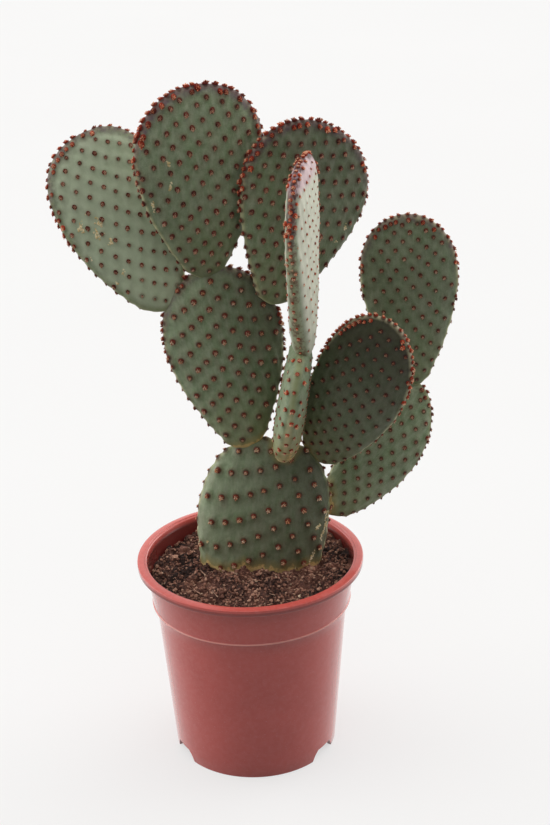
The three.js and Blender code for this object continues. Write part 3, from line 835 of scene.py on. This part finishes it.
def felt():
    # felted wool of the areole: maroon, browner where the bristles are pale, quite matt
    material, tree = newMaterial("areole_felt")
    place = node(tree, "TexCoord").outputs["Object"]
    # tangled hairs about 0.7 mm apart
    wool = node(tree, "TexNoise", {"Vector": place, "Scale": 1500})
    colour = tuftColour(tree, ("#391b19", "#6c2f28"), ("#703426", "#703426"), ("#7a1f1a", "#b2432a"))
    bump = node(tree, "Bump", {"Height": wool, "Strength": 0.6, "Distance": 0.0003})
    return surfaced(material, node(tree, "BsdfPrincipled", {
        "Base Color": colour, "Roughness": 0.85, "Specular IOR Level": 0.25, "Normal": bump}))


def bristle(name, *pairs):
    # barbed bristles, a little glassy, drawn thicker than the real 0.1 mm so that they show
    material, tree = newMaterial(name)
    return surfaced(material, node(tree, "BsdfPrincipled", {
        "Base Color": tuftColour(tree, *pairs), "Roughness": 0.4, "IOR": 1.5}))


def scabCork():
    # dried cork scabs over old wounds: cream to tan, matt, grained at about 0.7 mm
    material, tree = newMaterial("dried_cork_scab")
    place = node(tree, "TexCoord").outputs["Object"]
    dryness = node(tree, "Attribute", attribute_name="dryness").outputs["Fac"]
    grain = node(tree, "TexNoise", {"Vector": place, "Scale": 1400, "Detail": 3})
    bump = node(tree, "Bump", {"Height": grain, "Strength": 0.5, "Distance": 0.0003})
    return surfaced(material, node(tree, "BsdfPrincipled", {
        "Base Color": coat(tree, "#ccb478", "#f6eac8", (dryness,)), "Roughness": 0.8, "Normal": bump}))


def tuftShapes():
    # a few different areoles: a domed cushion with a brush of short bristles, which leans towards the pad's
    # foot (-Y) and is pale at that end
    draw = random.Random(tuft["seed"])
    shapes = []
    for _ in range(tuft["kinds"]):
        bm = bmesh.new()
        flat = Matrix.Diagonal((tuft["cushion"], tuft["cushion"] * draw.uniform(*tuft["cushionOval"]),
                                tuft["cushionHeight"], 1))
        bmesh.ops.create_icosphere(bm, subdivisions=1, radius=1, matrix=flat)
        for i in range(tuft["bristles"]):
            first = len(bm.faces)
            spread = math.sqrt((i + 0.5) / tuft["bristles"])
            turn = i * tuft["goldenTurn"] + eitherWay(draw, tuft["turnJitter"])
            length = draw.uniform(*tuft["bristleLength"])
            foot = Vector((math.cos(turn), math.sin(turn), 0)) * spread * tuft["brush"]
            pose = Matrix.Translation(foot - Vector((0, tuft["droop"], 0))) @ Matrix.Rotation(turn, 4, "Z")
            pose = pose @ Matrix.Rotation(spread * draw.uniform(*tuft["tilt"]), 4, "Y")
            light = (foot - Vector((0, tuft["paleAt"], 0))).length < tuft["paleReach"]
            length *= tuft["paleLonger"] if light else 1
            radius = tuft["bristleRadius"] * (tuft["paleWider"] if light else 1)
            bmesh.ops.create_cone(bm, cap_ends=True, segments=3, radius1=radius, depth=length,
                                  radius2=radius * tuft["bristleTaper"],
                                  matrix=pose @ Matrix.Translation((0, 0, length / 2)))
            bm.faces.ensure_lookup_table()
            for face in bm.faces[first:]:
                face.material_index = 2 if light else 1
        shapes.append(meshFrom(bm, "areole"))
    return shapes


def swelling(pad):
    return skin["tubercle"] * min(pad["size"], skin["tubercleMost"]) ** skin["tubercleCurve"]


def treeOf(points):
    tree = kdtree.KDTree(len(points))
    for i, point in enumerate(points):
        tree.insert(point, i)
    tree.balance()
    return tree


def growPad(pad):
    # the bare skin of a pad, its long low tubercles raised under the areoles
    bm = bmesh.new()
    bmesh.ops.create_uvsphere(bm, u_segments=skin["around"], v_segments=skin["along"], radius=1)
    along = bm.verts.layers.float.new("along")
    for vert in bm.verts:
        t = clamp((vert.co.z + 1) / 2)
        vert[along] = t
        vert.co = skinPoint(pad, t, math.atan2(vert.co.y, vert.co.x))
    bmesh.ops.remove_doubles(bm, verts=bm.verts, dist=skin["merge"])
    bm.normal_update()
    squash = Matrix.Diagonal((1, 1, 1 / skin["tubercleOval"]))
    roots = treeOf([root for root, _, _, _ in pad["tufts"]])
    swellings = treeOf([squash @ root for root, _, _, _ in pad["tufts"]])
    samples = skin["rimSamples"]
    rims = treeOf([skinPoint(pad, i / samples, side) for i in range(samples + 1) for side in (0, math.pi)])
    rim = bm.verts.layers.float.new("rim")
    near = bm.verts.layers.float.new("tuft")
    own = bm.verts.layers.float_vector.new("own")
    for vert in bm.verts:
        vert[rim] = rims.find(vert.co)[2]
        vert[near] = roots.find(vert.co)[2] / pad["size"]
        vert[own] = vert.co + pad["patternShift"]
        apart = swellings.find(squash @ vert.co)[2]
        raised = swelling(pad) * math.exp(-(apart / skin["tubercleRadius"]) ** 2)
        raised += skin["wave"] * noise.noise(vert[own] / skin["waveLength"])
        raised += skin["dimple"] * noise.noise(vert[own] / skin["dimpleLength"])
        vert.co += vert.normal * raised
    bmesh.ops.transform(bm, matrix=pad["matrix"], verts=bm.verts)
    return bm


def acrossAt(line, along):
    # how far across a line of falling (across, along) points stands at one height, below its top
    for (x1, z1), (x2, z2) in zip(line, line[1:]):
        if z2 <= along <= z1:
            return between(x1, x2, (z1 - along) / (z1 - z2))
    return line[-1][0] if along < line[-1][1] else None


def colourPad(pad, bm, trees):
    # writes what the skin's material needs to know of each place
    layers = bm.verts.layers.float
    along, rim = layers["along"], layers["rim"]
    joint, blush = layers.new("joint"), layers.new("blush")
    flat = {layers.new(key): pad[key] for key in ("corky", "tone", "pale", "lit")}
    tone, own = layers["tone"], bm.verts.layers.float_vector["own"]
    neighbour = trees[pad.get("on", "pad_edge_low")]
    blushFrom, blushFull = skin["blushBand"]
    for vert in bm.verts:
        local = vert[own] - pad["patternShift"]
        distance = neighbour.find_nearest(vert.co, skin["jointReach"])[3]
        distance = skin["jointReach"] if distance is None else distance
        if "corkFoot" in pad:
            rise, skew = pad["corkFoot"]
            distance = min(distance, rise * local.z + skew * (local.y + pad["thick"] / 2))
        if pad["name"] == "pad_base":
            above = vert.co.z - crumbled(vert.co.x, vert.co.y)
            distance = min(distance, max(0, skin["soilCork"] * above))
        vert[joint] = distance
        top = clamp((vert[along] - blushFrom) / (blushFull - blushFrom))
        vert[blush] = pad["blush"] * top * math.exp(-(vert[rim] / pad["blushReach"]) ** 2)
        for layer, value in flat.items():
            vert[layer] = value
        # painted shade: darker to the right and towards the foot as the pad's keys say, and on the base pad
        # darker to the right of the ridge, on the flank in shade
        slope = pad["toRight"] * 2 * local.x / pad["width"] + pad["toFoot"] * (1 - 2 * vert[along])
        vert[tone] = max(vert[tone] + slope, 0)
        across = acrossAt(pad["ridge"], local.z) if "ridge" in pad else None
        if across is not None and local.x > across:
            vert[tone] = between(vert[tone], pad["flank"], min((local.x - across) / skin["flankFade"], 1))


def dressPad(pad, shapes, materials):
    draw = random.Random("tufts " + pad["name"])
    bm = bmesh.new()
    placements = []
    lift = swelling(pad) + tuft["seat"]
    for root, normal, rimShare, t in pad["tufts"]:
        size = pad["size"] * draw.uniform(*tuft["sizes"])
        if rimShare:
            size *= between(*tuft["rimGrowth"], rimShare) * pad["rimSize"] * draw.uniform(*tuft["rimSizes"])
        size *= between(tuft["footSize"], 1, min(t / tuft["footPart"], 1))
        # the tuft's own Y runs along the pad; the last term keeps it so where the skin faces straight up
        length = (Vector((0, 0, 1)) - normal * normal.z + Vector((0, 0, 0.0001))).normalized()
        turned = Matrix((length.cross(normal), length, normal)).transposed().to_4x4()
        matrix = pad["matrix"] @ Matrix.Translation(root + normal * lift) @ turned
        matrix = matrix @ Matrix.Rotation(eitherWay(draw, tuft["twist"]), 4, "Z")
        form = Matrix.Diagonal((size, size * pad["oval"], size * between(*tuft["height"], rimShare), 1))
        red = max(rimShare * pad["red"], pad["faceRed"]) * draw.uniform(*tuft["reds"])
        gold = min(pad["gold"] * draw.uniform(*tuft["golds"]), 1)
        bright = pad["bright"] if rimShare or pad["faceRed"] else 0
        shade = min(draw.random() * pad["dull"] + bright, 1)
        placements.append((draw.choice(shapes), matrix @ form, red, gold, shade))
    stampAll(bm, placements, *tuftLayers)
    addPiece(pad["name"].replace("pad_", "areoles_"), bm, materials, sharpAngle=60)


def scabPad(pad, shapes, material):
    # small lumps of cork scattered along each scab's line, on the front face
    draw = random.Random("scabs " + pad["name"])
    bm = bmesh.new()
    placements = []
    for points, width, lumps in pad["scabs"]:
        for i in range(lumps):
            place = i / lumps * (len(points) - 1)
            first = int(place)
            start, stop = points[first], points[min(first + 1, len(points) - 1)]
            across, along = (between(low, high, place - first) + draw.gauss(0, width / scab["spread"])
                             for low, high in zip(start, stop))
            t = along / pad["length"]
            angle = faceAngle(pad, t, across)
            size = draw.uniform(*scab["size"])
            matrix = pad["matrix"] @ Matrix.Translation(skinPoint(pad, t, angle))
            matrix = matrix @ outward(pad, t, angle).to_track_quat("Z", "Y").to_matrix().to_4x4()
            matrix = matrix @ Matrix.Translation((0, 0, scab["lift"]))
            matrix = matrix @ Matrix.Rotation(draw.uniform(0, anyTurn), 4, "Z")
            form = Matrix.Diagonal((size * draw.uniform(*scab["stretch"]), size, size * scab["height"], 1))
            placements.append((draw.choice(shapes), matrix @ form, draw.random()))
    stampAll(bm, placements, "dryness")
    addPiece(pad["name"].replace("pad_", "scabs_"), bm, [material], sharpAngle=60)


def buildPlant():
    for pad in pads:
        pad["tufts"] = plantTufts(pad)
    print("areoles placed:", sum(len(pad["tufts"]) for pad in pads))
    skins = {pad["name"]: growPad(pad) for pad in pads}
    trees = {name: BVHTree.FromBMesh(bm) for name, bm in skins.items()}
    print("pads grown")
    skinMaterial, scabMaterial = epidermis(), scabCork()
    darkPairs = ("#521d1a", "#8a3e32"), ("#a85c3e", "#dc9c70"), ("#96281a", "#f0703e")
    palePairs = ("#965a46", "#e2b494"), ("#f6b888", "#ffe8c8"), ("#f0743c", "#ffc8a0")
    tuftMaterials = [felt(), bristle("glochid_bristle_dark", *darkPairs),
                     bristle("glochid_bristle_pale", *palePairs)]
    tufts = tuftShapes()
    lumps = lumpShapes(random.Random(scab["seed"]), scab["kinds"])
    for pad in pads:
        bm = skins[pad["name"]]
        colourPad(pad, bm, trees)
        piece = addPiece(pad["name"].replace("pad_", "skin_"), bm, [skinMaterial])
        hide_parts(pad["name"])
        dressPad(pad, tufts, tuftMaterials)
        if "scabs" in pad:
            scabPad(pad, lumps, scabMaterial)
        print(pad["name"], "dressed with", len(pad["tufts"]), "areoles")
    for mesh in tufts + lumps:
        bpy.data.meshes.remove(mesh)


buildPlant()


studio = {
    "floorRadius": 30, "floorSteps": 96, "floorGlow": 0.62, "floorTones": ("#888888", "#8c8c8c"),
    "floorBounce": "#8c8c8c", "light": "#fffdfa", "background": "#f9f8f6",
    # how bright the room is at the front, at the back, overhead, and in the soft boxes left and right
    "front": 0.05, "back": 1.0, "overhead": 1.5, "boxes": 2.6,
    # where along y and z these fade into each other, and how high the boxes reach
    "frontToBack": (-0.45, 0.3), "toOverhead": (0.5, 0.85), "boxTop": (0.75, 0.45),
    # where the middles of the boxes stand, and between which cosines their edges fade
    "leftBox": (-0.96, 0.2, 0.19), "rightBox": (0.85, 0.5, 0.17), "boxEdge": (0.78, 0.93),
}
view = {"place": (-0.00925, -0.9, 0.608), "yaw": 1.05, "pitch": 23.87, "roll": -1.58,
        "lens": 77.3, "sensor": 36, "farthest": 100}


def paper():
    # white studio table lit from below, so that shadows on it stay faint; it lights the plant only softly
    material, tree = newMaterial("lit_white_table")
    place = node(tree, "TexCoord").outputs["Object"]
    uneven = node(tree, "TexNoise", {"Vector": place, "Scale": 3})
    top = node(tree, "BsdfDiffuse", {"Color": coat(tree, *studio["floorTones"], (uneven,))})
    glow = node(tree, "Emission", {"Strength": studio["floorGlow"]})
    lit = node(tree, "AddShader", {0: top, 1: glow})
    soft = node(tree, "BsdfDiffuse", {"Color": studio["floorBounce"]})
    bounce = node(tree, "LightPath").outputs["Is Diffuse Ray"]
    return surfaced(material, node(tree, "MixShader", {0: bounce, 1: lit, 2: soft}))


def buildFloor():
    bm = bmesh.new()
    bmesh.ops.create_circle(bm, cap_ends=True, segments=studio["floorSteps"], radius=studio["floorRadius"])
    floor = inScene("floor", meshFrom(bm, "floor"))
    floor.data.materials.append(paper())


def lightRoom():
    # the room's light by direction: dim behind the viewer, bright behind the plant and overhead, with a
    # tall soft box at either side
    world = bpy.data.worlds.new("studio")
    world.use_nodes = True
    tree = world.node_tree
    tree.nodes.clear()
    place = node(tree, "TexCoord").outputs["Generated"]
    direction = node(tree, "SeparateXYZ", {0: place})
    y, z = direction.outputs["Y"], direction.outputs["Z"]
    left, right = (node(tree, "VectorMath", {0: place, 1: studio[key]}, operation="DOT_PRODUCT")
                   for key in ("leftBox", "rightBox"))
    nearest = node(tree, "Math", {0: left, 1: right}, operation="MAXIMUM")
    around = share(tree, (y, *studio["frontToBack"], studio["front"], studio["back"]), curve="SMOOTHSTEP")
    above = share(tree, (z, *studio["toOverhead"], 0, studio["overhead"]), curve="SMOOTHSTEP")
    boxes = share(tree, (nearest, *studio["boxEdge"], 0, studio["boxes"]), (z, *studio["boxTop"]),
                  curve="SMOOTHSTEP")
    room = node(tree, "Math", {0: around, 1: above}, operation="MAXIMUM")
    total = node(tree, "Math", {0: room, 1: boxes}, operation="ADD")
    light = node(tree, "Background", {"Color": studio["light"], "Strength": total})
    plain = node(tree, "Background", {"Color": studio["background"]})
    seen = node(tree, "LightPath").outputs["Is Camera Ray"]
    node(tree, "OutputWorld", {"Surface": node(tree, "MixShader", {0: seen, 1: light, 2: plain})})
    scene.world = world


def buildCamera():
    yaw, pitch, roll = (math.radians(view[key]) for key in ("yaw", "pitch", "roll"))
    forward = Vector((math.sin(yaw) * math.cos(pitch), math.cos(yaw) * math.cos(pitch), -math.sin(pitch)))
    level = Vector((math.cos(yaw), -math.sin(yaw), 0))
    upright = level.cross(forward)
    right = math.cos(roll) * level + math.sin(roll) * upright
    up = math.cos(roll) * upright - math.sin(roll) * level
    camera = inScene("camera", bpy.data.cameras.new("camera"))
    camera.data.lens = view["lens"]
    camera.data.sensor_width = view["sensor"]
    camera.data.clip_end = view["farthest"]
    turned = Matrix((right, up, -forward)).transposed().to_4x4()
    camera.matrix_world = Matrix.Translation(view["place"]) @ turned
    scene.camera = camera


buildFloor()
lightRoom()
buildCamera()
print("studio lit, camera placed")
